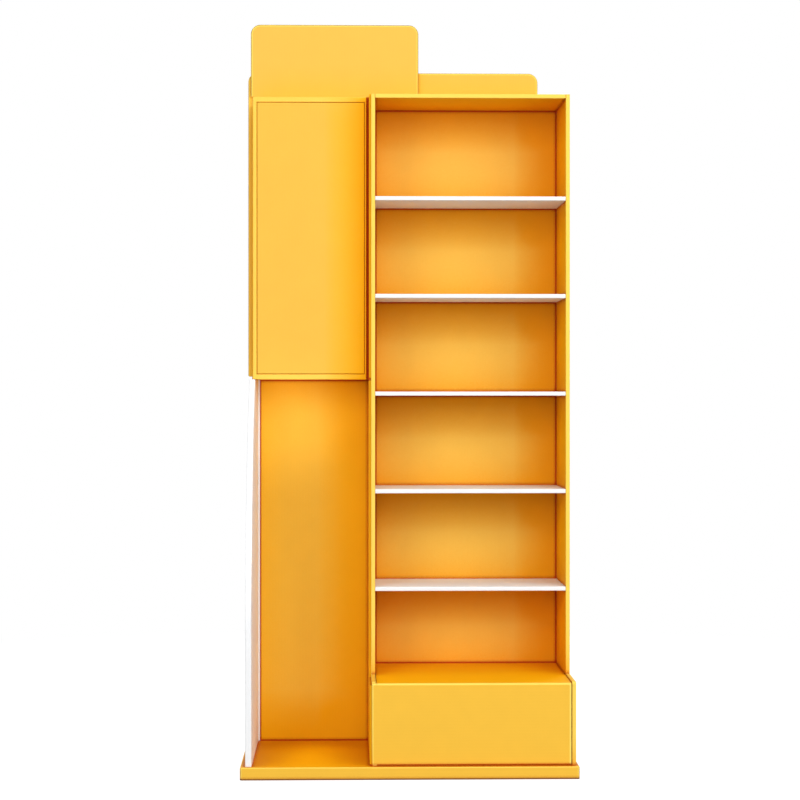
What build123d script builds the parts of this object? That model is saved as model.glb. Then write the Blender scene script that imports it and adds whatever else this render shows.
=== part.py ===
from build123d import *
import os

os.makedirs("parts", exist_ok=True)

# Corrugated board, the sheet that every piece is cut and creased from
board = 4.5
fold_air = 1.0
fold_radius = 2.0
bend_inner_radius = 1.0
edge_radius = 2.0
play = 0.3
cut_overrun = 5.0

# Tabs that seat one piece in a slot of the next, and where they stand along an edge
tab_width = 50.0
tab_shares = (0.25, 0.75)

# Base tray
base_width = 800.0
base_depth = 400.0
base_height = 30.0
base_corner_radius = 6.0
base_edge_radius = 3.0
base_rib_shares = (0.25, 0.5, 0.75)

# Shelf tower and the storage box at its foot
tower_width = 483.0
tower_height = 1605.0
tower_side_inset = 7.0
shelf_depth = 230.0
storage_height = 195.0
storage_reach = 147.0
storage_step = 3.0
storage_corner_radius = 6.0
storage_groove = 1.5
storage_lap_radius = 3.5
storage_flange = 40.0

# Shelves
shelf_count = 5
lowest_shelf_rise = 214.0
shelf_pitch = 237.0
shelf_setback = 1.0

# Left bay
side_panel_thickness = 15.0
side_panel_inset = 12.0
side_panel_front_inset = 10.0
side_panel_straight = 284.0
side_panel_edge_radius = 2.5
cheek_setback = 9.0

# Sign box over the left bay
sign_box_height = 692.0
sign_box_depth = 169.0
sign_box_gap = 6.0
sign_box_seat = 6.0
sign_spacer_setback = 8.0
sign_spacer_depth = 40.0
sign_rim_height = 13.0
sign_front_flange = 40.0
sign_front_fold_radius = 2.5

# Header cards
rear_header_height = 769.0
rear_header_rise = 85.0
rear_header_left_inset = 2.0
rear_header_right_inset = 58.0
rear_header_foot_radius = 4.0
front_header_left_inset = 9.0
front_header_tower_reach = 122.0
front_header_rise = 205.0
front_header_notch = 23.0
header_corner_radius = 24.0

# Thickness of a sheet folded back on itself, and the middle radius of a crease
double_board = 2 * board + fold_air
bend_radius = bend_inner_radius + board / 2

# Levels
base_top = base_height
deck_top = base_top + storage_height
tower_top = base_top + tower_height
sign_box_bottom = tower_top - sign_box_height
shelf_tops = [deck_top + lowest_shelf_rise + shelf_pitch * i for i in range(shelf_count)]

# Planes from back to front
rear = base_depth / 2
sheet_rear = rear - board
sheet_front = sheet_rear - board
tower_front = sheet_front - shelf_depth
storage_front = tower_front - storage_reach
lapped_wall_front = storage_front + board + play
sign_front = sheet_front - sign_box_depth
side_panel_front = side_panel_front_inset - base_depth / 2

# Planes from left to right
side_panel_left = side_panel_inset - base_width / 2
side_panel_right = side_panel_left + side_panel_thickness
tower_right = base_width / 2 - tower_side_inset
tower_left = tower_right - tower_width
tower_inner_left = tower_left + double_board
tower_inner_right = tower_right - double_board
tower_middle = (tower_inner_left + tower_inner_right) / 2
tower_clear_width = tower_inner_right - tower_inner_left
cheek_left = tower_left - board
sign_left = side_panel_right - sign_box_seat
sign_right = cheek_left - sign_box_gap
sign_middle = (sign_left + sign_right) / 2
sign_width = sign_right - sign_left
front_header_left = front_header_left_inset - base_width / 2
front_header_right = tower_left + front_header_tower_reach
front_header_width = front_header_right - front_header_left


def along(start, end, shares=tab_shares):
    return [start + (end - start) * share for share in shares]


# Middles of the tabs under the walls, as seen from above
wall_tab_ys = along(storage_front, sheet_rear)
panel_tab_ys = along(side_panel_front, sheet_front)
tower_back_tab_xs = along(tower_inner_left, tower_inner_right)
bay_back_tab_xs = along(side_panel_left, cheek_left)
side_panel_middle = (side_panel_left + side_panel_right) / 2
left_wall_tab_x = tower_left + board / 2
right_wall_tab_x = tower_right - board / 2
sheet_middle = (sheet_front + sheet_rear) / 2
lengthwise_tabs = [
    *[(side_panel_middle, y) for y in panel_tab_ys],
    *[(left_wall_tab_x, y) for y in wall_tab_ys],
    *[(right_wall_tab_x, y) for y in wall_tab_ys],
]
crosswise_tabs = [(x, sheet_middle) for x in [*bay_back_tab_xs, *tower_back_tab_xs]]

# Tabs at the ends of the shelves, and under the front header
shelf_tab_ys = along(tower_front, sheet_front)
header_tower_overlap = front_header_right - tower_inner_left
header_tower_tab_width = min(tab_width, header_tower_overlap / 2)
header_tower_tab_x = tower_inner_left + header_tower_overlap / 2
header_sign_tab_xs = along(sign_left, sign_right)
header_middle_y = sheet_front - board / 2


# Base tray: one sheet folded down on all four sides, slotted for the walls
with BuildPart() as base_tray:
    with BuildSketch():
        RectangleRounded(base_width, base_depth, base_corner_radius)
    extrude(amount=base_height)
    fillet(base_tray.faces().sort_by(Axis.Z)[-1].edges(), base_edge_radius)
    with BuildSketch():
        RectangleRounded(base_width - 2 * board, base_depth - 2 * board, base_corner_radius - board)
    extrude(amount=base_height - board, mode=Mode.SUBTRACT)
    with BuildSketch(Plane.XY.offset(base_top)):
        with Locations(*lengthwise_tabs):
            Rectangle(board + 2 * play, tab_width + 2 * play)
        with Locations(*crosswise_tabs):
            Rectangle(tab_width + 2 * play, board + 2 * play)
    extrude(amount=-board, mode=Mode.SUBTRACT)
base_tray.part.label = "base_tray"
export_step(base_tray.part, "parts/base_tray.step")


def half_lapped_rib(label, plane, length, height, notch_places, notches_on_top):
    # A strip on edge, notched to half its height where it crosses its partners
    notch_level = height * 3 / 4 if notches_on_top else height / 4
    with BuildPart() as rib:
        with BuildSketch(plane):
            with Locations((0, height / 2)):
                Rectangle(length, height)
            with Locations(*[(place, notch_level) for place in notch_places]):
                Rectangle(board + 2 * play, height / 2, mode=Mode.SUBTRACT)
        extrude(amount=board / 2, both=True)
    rib.part.label = label
    export_step(rib.part, f"parts/{label}.step")


def plane_across(x, y, z):
    # A plane whose own x runs along the rack's depth
    return Plane(origin=(x, y, z), x_dir=(0, 1, 0), z_dir=(1, 0, 0))


def plane_facing(x, y, z):
    # A plane whose own x runs along the rack's width
    return Plane(origin=(x, y, z), x_dir=(1, 0, 0), z_dir=(0, -1, 0))


# Ribs under the base
base_clear_width = base_width - 2 * board
base_rib_height = base_height - board
base_rib_length = base_clear_width - 2 * play
base_rib_depth = base_depth - 2 * board - 2 * play
base_rib_xs = along(-base_clear_width / 2, base_clear_width / 2, base_rib_shares)
half_lapped_rib(
    "base_rib_long", plane_facing(0, 0, 0), base_rib_length, base_rib_height, base_rib_xs, True
)
for number, rib_x in enumerate(base_rib_xs, start=1):
    half_lapped_rib(
        f"base_rib_cross_{number}", plane_across(rib_x, 0, 0), base_rib_depth, base_rib_height, [0], False
    )

# Ribs under the storage deck, behind the cover's foot
storage_rib_front = storage_front + board + storage_flange + play
storage_rib_depth = sheet_front - play - storage_rib_front
storage_rib_middle = storage_rib_front + storage_rib_depth / 2
storage_rib_height = storage_height - board
half_lapped_rib(
    "storage_rib_long",
    plane_facing(tower_middle, storage_rib_middle, base_top),
    tower_clear_width - 2 * play,
    storage_rib_height,
    [0],
    True,
)
half_lapped_rib(
    "storage_rib_cross",
    plane_across(tower_middle, storage_rib_middle, base_top),
    storage_rib_depth,
    storage_rib_height,
    [0],
    False,
)


def wall_outline(foot_front, inset, overrun):
    # The stepped side of the tower, drawn in depth and height
    step = deck_top + storage_step - inset
    Polyline(
        (sheet_rear + overrun, base_top - overrun),
        (foot_front + inset, base_top - overrun),
        (foot_front + inset, step),
        (tower_front + inset, step),
        (tower_front + inset, tower_top + overrun),
        (sheet_rear + overrun, tower_top + overrun),
        close=True,
    )


def folded_edges(part):
    # The outline edges of a wall's two faces, all but those at its rear, top and foot
    def is_folded(edge):
        middle = edge.center()
        is_across = abs(edge.tangent_at(0).X) > abs(edge.tangent_at(0).Y) + abs(edge.tangent_at(0).Z)
        is_between = base_top + play < middle.Z < tower_top - play
        return not is_across and is_between and middle.Y < sheet_front

    return part.edges().filter_by(is_folded)


def tower_side(label, outer, inward, tab_x, foot_front):
    # One sheet folded double along the front, with slots in its inner skin
    inner = outer + inward * double_board
    seats = [*shelf_tops, tower_top]
    slot_height = board + play
    slot_places = [(y, top - double_board + slot_height / 2) for top in seats for y in shelf_tab_ys]
    with BuildPart() as side:
        with BuildSketch(Plane.YZ.offset(outer)) as outline:
            with BuildLine():
                wall_outline(foot_front, 0, 0)
            make_face()
            step_corner = outline.vertices().group_by(Axis.X)[0].sort_by(Axis.Y)[-1]
            fillet(step_corner, storage_corner_radius)
        extrude(amount=inward * double_board)
        fillet(folded_edges(side.part), fold_radius)
        with BuildSketch(Plane.YZ.offset(outer + inward * board)):
            with BuildLine():
                wall_outline(foot_front, board, cut_overrun)
            make_face()
        extrude(amount=inward * fold_air, mode=Mode.SUBTRACT)
        with BuildSketch(Plane.YZ.offset(inner)):
            with Locations(*slot_places):
                Rectangle(tab_width + 2 * play, slot_height)
        extrude(amount=-inward * (board + fold_air), mode=Mode.SUBTRACT)
        with BuildSketch(Plane.XY.offset(base_top)):
            with Locations(*[(tab_x, y) for y in wall_tab_ys]):
                Rectangle(board, tab_width)
        extrude(amount=-board)
    side.part.label = label
    export_step(side.part, f"parts/{label}.step")


tower_side("tower_left_side", tower_left, 1, left_wall_tab_x, lapped_wall_front)
tower_side("tower_right_side", tower_right, -1, right_wall_tab_x, storage_front)

# Back sheet of the tower, between the side walls
with BuildPart() as tower_back:
    with BuildSketch(Plane.XZ.offset(-sheet_rear)):
        with Locations((tower_middle, base_top + tower_height / 2)):
            Rectangle(tower_clear_width - 2 * play, tower_height)
        with Locations(*[(x, base_top - board / 2) for x in tower_back_tab_xs]):
            Rectangle(tab_width, board)
    extrude(amount=board)
tower_back.part.label = "tower_back"
export_step(tower_back.part, "parts/tower_back.step")


def folded_shelf(label, top, front, slot_places):
    # A sheet folded double at its front edge, with tabs at both ends of its lower skin
    bottom = top - double_board
    back = sheet_front - play
    depth = back - front
    end = tower_clear_width / 2 - play
    with BuildPart() as shelf:
        with BuildSketch(Plane.YZ.offset(tower_middle)) as section:
            with Locations(((front + back) / 2, (bottom + top) / 2)):
                Rectangle(depth, double_board)
            fillet(section.vertices().group_by(Axis.X)[0], fold_radius)
            with Locations(((front + back) / 2 + board, (bottom + top) / 2)):
                Rectangle(depth, fold_air, mode=Mode.SUBTRACT)
        extrude(amount=end, both=True)
        for end_plane, outward in ((tower_middle - end, -1), (tower_middle + end, 1)):
            with BuildSketch(Plane.YZ.offset(end_plane)):
                with Locations(*[(y, bottom + board / 2) for y in shelf_tab_ys]):
                    Rectangle(tab_width, board)
            extrude(amount=outward * board)
        if slot_places:
            with BuildSketch(Plane.XY.offset(top)):
                for place, width in slot_places:
                    with Locations(place):
                        Rectangle(width + 2 * play, board + 2 * play)
            extrude(amount=-board, mode=Mode.SUBTRACT)
    shelf.part.label = label
    export_step(shelf.part, f"parts/{label}.step")


for number, shelf_top in enumerate(reversed(shelf_tops), start=1):
    folded_shelf(f"shelf_{number}", shelf_top, tower_front + shelf_setback, [])
header_tower_slot = ((header_tower_tab_x, header_middle_y), header_tower_tab_width)
folded_shelf("tower_top", tower_top, tower_front, [header_tower_slot])

# Storage cover: deck, front and foot folded from one sheet, lapped over the edge of the left wall
cover_front = storage_front + board / 2
cover_deck = deck_top - board / 2
cover_foot = base_top + board / 2
with BuildPart() as storage_cover:
    with BuildSketch(Plane.YZ.offset(tower_middle)):
        with BuildLine():
            FilletPolyline(
                (sheet_front - play, cover_deck),
                (cover_front, cover_deck),
                (cover_front, cover_foot),
                (cover_front + board / 2 + storage_flange, cover_foot),
                radius=bend_radius,
            )
        trace(line_width=board)
    extrude(amount=tower_clear_width / 2 - storage_groove, both=True)
    with BuildSketch(Plane.XZ.offset(-storage_front)):
        with Locations((tower_left, base_top)):
            Rectangle(double_board + storage_groove, storage_height, align=(Align.MIN, Align.MIN))
    extrude(amount=-board)
    lap_edges = storage_cover.edges().filter_by(
        lambda edge: edge.center().X < tower_inner_left and edge.center().Y < storage_front + play
    )
    fillet(lap_edges.sort_by(Axis.Z)[1:], storage_lap_radius)
storage_cover.part.label = "storage_cover"
export_step(storage_cover.part, "parts/storage_cover.step")

# Left side panel: thick white board whose front edge sweeps back under the sign box
side_panel_sweep_start = base_top + side_panel_straight
with BuildPart() as left_side_panel:
    with BuildSketch(Plane.YZ.offset(side_panel_left)):
        with BuildLine():
            Polyline(
                (sign_front, sign_box_bottom),
                (sheet_front, sign_box_bottom),
                (sheet_front, base_top),
                (side_panel_front, base_top),
                (side_panel_front, side_panel_sweep_start),
            )
            TangentArc(
                (side_panel_front, side_panel_sweep_start), (sign_front, sign_box_bottom), tangent=(0, 1)
            )
        make_face()
    extrude(amount=side_panel_thickness)
    swept_edges = left_side_panel.edges().filter_by(
        lambda edge: edge.geom_type == GeomType.CIRCLE or edge.center().Y < side_panel_front + play
    )
    fillet(swept_edges.filter_by(Axis.X, reverse=True).filter_by(Axis.Y, reverse=True), side_panel_edge_radius)
    with BuildSketch(Plane.XY.offset(base_top)):
        with Locations(*[(side_panel_middle, y) for y in panel_tab_ys]):
            Rectangle(board, tab_width)
    extrude(amount=-board)
left_side_panel.part.label = "left_side_panel"
export_step(left_side_panel.part, "parts/left_side_panel.step")

# Bay back: the back sheet folded forward into a stepped cheek along the tower
cheek_middle = cheek_left + board / 2
cheek_front = tower_front + cheek_setback
cheek_foot_front = storage_front + cheek_setback
with BuildPart() as bay_back:
    with BuildSketch(Plane.XY.offset(base_top)):
        with BuildLine():
            FilletPolyline(
                (side_panel_left, sheet_middle),
                (cheek_middle, sheet_middle),
                (cheek_middle, cheek_foot_front),
                radius=bend_radius,
            )
        trace(line_width=board)
    extrude(amount=tower_height)
    with BuildSketch(Plane.YZ.offset(cheek_left - cut_overrun)):
        with Locations((cheek_front, deck_top + storage_step - cheek_setback)):
            Rectangle(storage_reach + cut_overrun, tower_height, align=(Align.MAX, Align.MIN))
    extrude(amount=board + 2 * cut_overrun, mode=Mode.SUBTRACT)
    with BuildSketch(Plane.XY.offset(base_top)):
        with Locations(*[(x, sheet_middle) for x in bay_back_tab_xs]):
            Rectangle(tab_width, board)
    extrude(amount=-board)
bay_back.part.label = "bay_back"
export_step(bay_back.part, "parts/bay_back.step")

# Sign box sleeve: walls folded double over their front edges, but for the single one beside the tower
sign_box_middle = sign_box_bottom + sign_box_height / 2
sign_centre = (sign_middle, sign_box_middle)
sign_inner_left = sign_left + double_board
sign_inner_right = sign_right - board
sign_inner_centre = ((sign_inner_left + sign_inner_right) / 2, sign_box_middle)
sign_inner_width = sign_inner_right - sign_inner_left
sign_inner_height = sign_box_height - 2 * sign_rim_height
sign_fold_corner = (sign_inner_right, sign_box_middle)
with BuildPart() as sign_box_sleeve:
    with BuildSketch(Plane.XZ.offset(-sheet_front)):
        with Locations(sign_centre):
            RectangleRounded(sign_width, sign_box_height, fold_radius)
        with Locations(sign_inner_centre):
            Rectangle(sign_inner_width, sign_inner_height, mode=Mode.SUBTRACT)
    extrude(amount=sign_box_depth)
    fillet(sign_box_sleeve.faces().sort_by(Axis.Y)[0].edges(), fold_radius)
    with BuildSketch(Plane.XZ.offset(-sheet_front)):
        with Locations(sign_fold_corner):
            Rectangle(sign_width - 2 * board, sign_box_height - 2 * board, align=(Align.MAX, Align.CENTER))
            Rectangle(
                sign_inner_width + board,
                sign_inner_height + 2 * board,
                align=(Align.MAX, Align.CENTER),
                mode=Mode.SUBTRACT,
            )
    extrude(amount=sign_box_depth - board, mode=Mode.SUBTRACT)
    with BuildSketch(Plane.XY.offset(tower_top)):
        with Locations(*[(x, header_middle_y) for x in header_sign_tab_xs]):
            Rectangle(tab_width + 2 * play, board + 2 * play)
    extrude(amount=-board, mode=Mode.SUBTRACT)
sign_box_sleeve.part.label = "sign_box_sleeve"
export_step(sign_box_sleeve.part, "parts/sign_box_sleeve.step")

# Sign box spacer: a strip glued between the sleeve and the cheek, a little behind the sleeve's front edge
with BuildPart() as sign_box_spacer:
    with BuildSketch(Plane.XY.offset(sign_box_bottom)):
        with Locations((sign_right, sign_front + sign_spacer_setback)):
            Rectangle(sign_box_gap, sign_spacer_depth, align=(Align.MIN, Align.MIN))
    extrude(amount=sign_box_height)
sign_box_spacer.part.label = "sign_box_spacer"
export_step(sign_box_spacer.part, "parts/sign_box_spacer.step")

# Sign box front: a shallow tray pushed in flush with the sleeve's front edges
tray_width = sign_inner_width - 2 * play
tray_height = sign_inner_height - 2 * play
with BuildPart() as sign_box_front:
    with BuildSketch(Plane.XZ.offset(-sign_front)):
        with Locations(sign_inner_centre):
            Rectangle(tray_width, tray_height)
    extrude(amount=-(board + sign_front_flange))
    fillet(sign_box_front.faces().sort_by(Axis.Y)[0].edges(), sign_front_fold_radius)
    with BuildSketch(Plane.XZ.offset(-(sign_front + board))):
        with Locations(sign_inner_centre):
            Rectangle(tray_width - 2 * board, tray_height - 2 * board)
    extrude(amount=-sign_front_flange, mode=Mode.SUBTRACT)
sign_box_front.part.label = "sign_box_front"
export_step(sign_box_front.part, "parts/sign_box_front.step")

# Rear header: one wide card glued across both back sheets
rear_header_left = rear_header_left_inset - base_width / 2
rear_header_right = tower_right - rear_header_right_inset
rear_header_width = rear_header_right - rear_header_left
rear_header_bottom = tower_top + rear_header_rise - rear_header_height
with BuildPart() as rear_header:
    with BuildSketch(Plane.XZ.offset(-rear)) as card:
        with Locations((rear_header_left + rear_header_width / 2, rear_header_bottom + rear_header_height / 2)):
            Rectangle(rear_header_width, rear_header_height)
        fillet(card.vertices().group_by(Axis.Y)[-1], header_corner_radius)
        fillet(card.vertices().group_by(Axis.Y)[0], rear_header_foot_radius)
    extrude(amount=board)
    fillet(rear_header.faces().sort_by(Axis.Y)[0].edges(), edge_radius)
rear_header.part.label = "rear_header"
export_step(rear_header.part, "parts/rear_header.step")

# Front header: a tall card standing in slots on the sign box and the tower, notched over the seams beside them
header_notches = [(front_header_left, sign_left), (sign_right, tower_left + board)]
with BuildPart() as front_header:
    with BuildSketch(Plane.XZ.offset(-sheet_front)) as card:
        with Locations((front_header_left + front_header_width / 2, tower_top + front_header_rise / 2)):
            Rectangle(front_header_width, front_header_rise)
        fillet(card.vertices().group_by(Axis.Y)[-1], header_corner_radius)
    extrude(amount=board)
    card_edges = front_header.faces().sort_by(Axis.Y)[0].edges()
    fillet(card_edges.sort_by(Axis.Z)[1:], edge_radius)
    with BuildSketch(Plane.XZ.offset(-sheet_front)):
        for notch_start, notch_end in header_notches:
            with Locations((notch_start, tower_top)):
                Rectangle(notch_end - notch_start, front_header_notch, align=(Align.MIN, Align.MIN))
    extrude(amount=board, mode=Mode.SUBTRACT)
    with BuildSketch(Plane.XZ.offset(-sheet_front)):
        with Locations(*[(x, tower_top - board / 2) for x in header_sign_tab_xs]):
            Rectangle(tab_width, board)
        with Locations((header_tower_tab_x, tower_top - board / 2)):
            Rectangle(header_tower_tab_width, board)
    extrude(amount=board)
front_header.part.label = "front_header"
export_step(front_header.part, "parts/front_header.step")
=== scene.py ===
import math
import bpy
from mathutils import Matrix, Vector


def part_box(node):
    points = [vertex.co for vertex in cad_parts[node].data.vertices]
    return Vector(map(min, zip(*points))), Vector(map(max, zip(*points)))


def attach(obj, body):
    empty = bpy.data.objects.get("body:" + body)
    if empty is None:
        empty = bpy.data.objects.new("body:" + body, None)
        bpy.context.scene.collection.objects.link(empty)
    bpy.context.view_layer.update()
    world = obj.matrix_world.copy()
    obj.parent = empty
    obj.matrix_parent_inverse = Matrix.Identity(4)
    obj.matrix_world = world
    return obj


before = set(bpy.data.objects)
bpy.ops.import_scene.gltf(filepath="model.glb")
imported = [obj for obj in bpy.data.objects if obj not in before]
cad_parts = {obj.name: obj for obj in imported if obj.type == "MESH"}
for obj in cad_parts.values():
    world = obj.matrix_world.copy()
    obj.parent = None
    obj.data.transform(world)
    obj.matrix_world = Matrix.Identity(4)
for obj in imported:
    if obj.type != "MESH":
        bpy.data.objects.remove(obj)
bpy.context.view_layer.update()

from types import SimpleNamespace

import bmesh
import bpy
from bpy.props import FloatProperty, FloatVectorProperty, PointerProperty
from mathutils import Vector

bl_info = {
    "name": "Display rack",
    "version": (1, 0, 0),
    "blender": (4, 5, 0),
    "location": "View3D > Sidebar > Display rack",
    "description": "Finishes for a display rack of printed corrugated board, with its studio",
    "category": "Object",
}

# A millimetre in metres
MILLIMETRE = 0.001


def linear(hex_colour):
    """The linear RGBA of an sRGB hex colour."""
    channels = [int(hex_colour[start : start + 2], 16) / 255 for start in (0, 2, 4)]
    return (*[c / 12.92 if c <= 0.04045 else ((c + 0.055) / 1.055) ** 2.4 for c in channels], 1.0)


# The pieces that finishes, lamps and the corner strip refer to, read from model.glb
SHEET_LOW, SHEET_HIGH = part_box("tower_back")
WALL_LOW, WALL_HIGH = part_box("tower_left_side")
BAY_LOW, BAY_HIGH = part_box("bay_back")
BASE_LOW, BASE_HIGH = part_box("base_tray")
PANEL_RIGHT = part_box("left_side_panel")[1].x
SIGN_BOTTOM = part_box("sign_box_sleeve")[0].z
TOWER_TOP = WALL_HIGH.z
BASE_TOP = BASE_HIGH.z
SHELVES = [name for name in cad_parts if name.startswith("shelf_")]
RIBS = [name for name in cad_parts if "_rib_" in name]

# Thickness of the board, and the air left inside a sheet that is folded back on itself
BOARD = SHEET_HIGH.y - SHEET_LOW.y
FOLD_AIR = (WALL_HIGH.x - WALL_LOW.x) - 2 * BOARD

# The front edges of a wall are where its sheet is folded back on itself
FRONT_FOLD = ("Y", -1, BASE_HIGH.y)

# A face belongs to a plane if it lies this near it and looks this squarely along its axis
SKIN = 0.1 * MILLIMETRE
SQUARE_ON = 0.7

# For each axis that flutes can run along: a face that looks along the first axis given, by more than the
# share below, shows them following each other along the second, and any other face along the third
FLUTE_STEPS = {"Z": ("Y", "X", "Y"), "X": ("Z", "Y", "Z")}
FLUTE_FACING = 0.5

# Detail of the noises that draw the fibres and the soft patches of ink
FIBRE_DETAIL = 3.0
MOTTLE_DETAIL = 2.0

# How dense each colour lies, and how much patches, fibres and flutes change that
INK_DENSITY = 0.965
INK_MOTTLE = 0.05
INK_FIBRES = 0.02
INK_FLUTES = 0.006
WHITE_DENSITY = 0.985
WHITE_FIBRES = 0.03
WHITE_FLUTES = 0.004
KRAFT_DENSITY = 0.80
KRAFT_FIBRES = 0.35
KRAFT_FLUTES = 0.06

# Gloss of coated paper, and the roughness of each liner with what its fibres add
PAPER_IOR = 1.4
PAPER_GLOSS = 0.15
INK_ROUGHNESS = 0.5
WHITE_ROUGHNESS = 0.5
KRAFT_ROUGHNESS = 0.75
FIBRE_ROUGHNESS = 0.12
WHITE_FIBRE_ROUGHNESS = 0.1

# Relief of the paper: how much of it is flutes and how much fibres, its strength and its height
FLUTE_RELIEF = 0.5
FIBRE_RELIEF = 0.3
RELIEF_STRENGTH = 0.12
RELIEF_HEIGHT = 0.06 * MILLIMETRE

# A cut edge in shares of the board: the wave's height, half its line's width, and where the liners start
WAVE_SHARE = 0.36
WAVE_LINE_SHARE = 0.13
LINER_SHARE = 0.38

# How squarely a face looks where a fold starts and is full, and how pale folds and folded edges are, which
# is partly lighter ink over a crease and partly a painted highlight
FOLD_START = 0.995
FOLD_FULL = 0.93
FOLD_PALENESS = 0.8
EDGE_PALENESS = 0.7

# How finely the open space over a point is sampled
AO_SAMPLES = 4

# Shares of open space: where the painted shade of nooks and seams starts and is full, and between which a
# gap becomes a corner
NOOK_SHARES = (0.92, 0.5)
SEAM_SHARES = (0.82, 0.66)
WHITE_SEAM_SHARES = (0.72, 0.48)
GAP_SHARES = (0.1, 0.28)

# Lines of painted shade where sheets meet in a corner: how dark, and half their width in sight or partly
# behind a wall's front
JOINT_DEPTH = 0.8
JOINT_LINE = 3.5 * MILLIMETRE
HIDDEN_JOINT_LINE = 6.5 * MILLIMETRE

# Corner radii of the header cards and of the storage box, and the share of a rim that is worn
CARD_CORNER = 24 * MILLIMETRE
STORAGE_CORNER = 7 * MILLIMETRE
WORN_SHARE = 0.4

# Room at the ends of the corner strip, and the rounding of its edges as a share of its thickness
STRIP_CLEARANCE = 0.5 * MILLIMETRE
STRIP_ROUNDING_SHARE = 0.25

# Settings of a mix node that blends colours, with the output that holds the blend
COLOUR_MIX = {"output": 2, "data_type": "RGBA"}

# Floor of the studio: where it starts and ends its fade into the white room, and its lift to white
WHITE = (1.0, 1.0, 1.0, 1.0)
FLOOR_HALF_WIDTH = 20.0
FADE_START = 1.2
FADE_END = 3.0
FLOOR_LIFT = 0.85

# Where the lamps are aimed: the rack's middle, or a place on the bay's back, across it and up the tower
RACK_MIDDLE = Vector((0.0, 0.0, TOWER_TOP / 2))
BAY_ACROSS_SHARE = 0.3
BAY_UP_SHARE = 0.56
BAY_AIM_X = BAY_LOW.x * (1 - BAY_ACROSS_SHARE) + BAY_HIGH.x * BAY_ACROSS_SHARE
BAY_AIM = Vector((BAY_AIM_X, SHEET_LOW.y, TOWER_TOP * BAY_UP_SHARE))

# Width of the camera's sensor in millimetres
SENSOR_WIDTH = 36.0


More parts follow.
